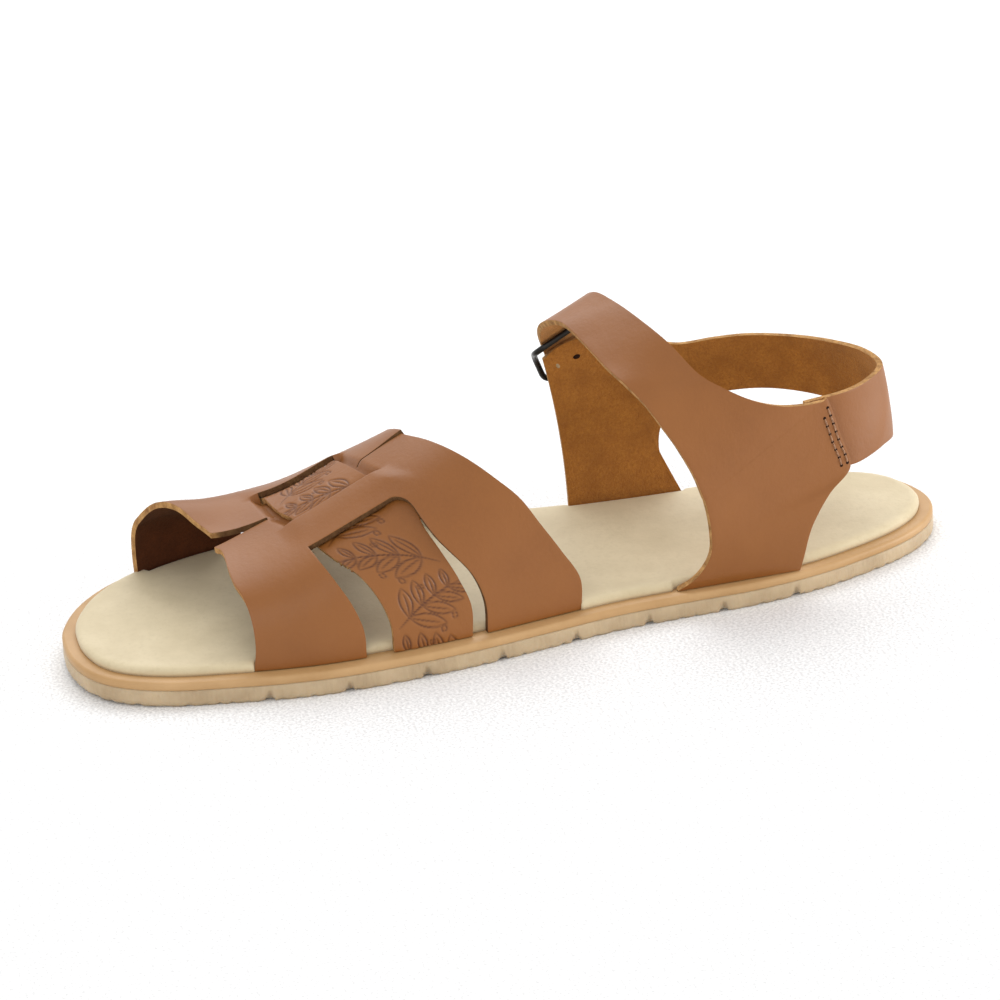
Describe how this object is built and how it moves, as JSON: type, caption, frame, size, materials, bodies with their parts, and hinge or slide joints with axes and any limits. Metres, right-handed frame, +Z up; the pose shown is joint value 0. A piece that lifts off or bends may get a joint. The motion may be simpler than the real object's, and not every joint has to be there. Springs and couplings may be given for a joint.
{
  "type": "sandal",
  "caption": "Flat barefoot sandal for the right foot: woven leather straps over the forefoot, side quarters with an ankle strap and buckle, a heel strap and a thin flexible sole.",
  "frame": {"origin": "On the ground under the middle of the sole, halfway between toe and heel", "axes": "+X towards the inner side of the right foot, +Y towards the heel, +Z up"},
  "size_m": [0.1022, 0.258, 0.0832],
  "materials": {
    "outsole": "translucent gum rubber with a fine tread",
    "midsole": "smooth tan sheet",
    "insole": "pale matt footbed leather",
    "leather": "smooth brown leather with suede on the inner side and raw cut edges",
    "strap_leather": "brown leather with an embossed leaf pattern",
    "buckle": "black"
  },
  "bodies": {
    "root": {"outsole": "outsole", "midsole": "midsole", "insole": "insole", "forefoot_upper": "leather", "middle_strap": "strap_leather", "inner_quarter": "leather", "outer_quarter": "leather", "buckle_frame": "buckle", "buckle_prong": "buckle"}
  },
  "joints": []
}
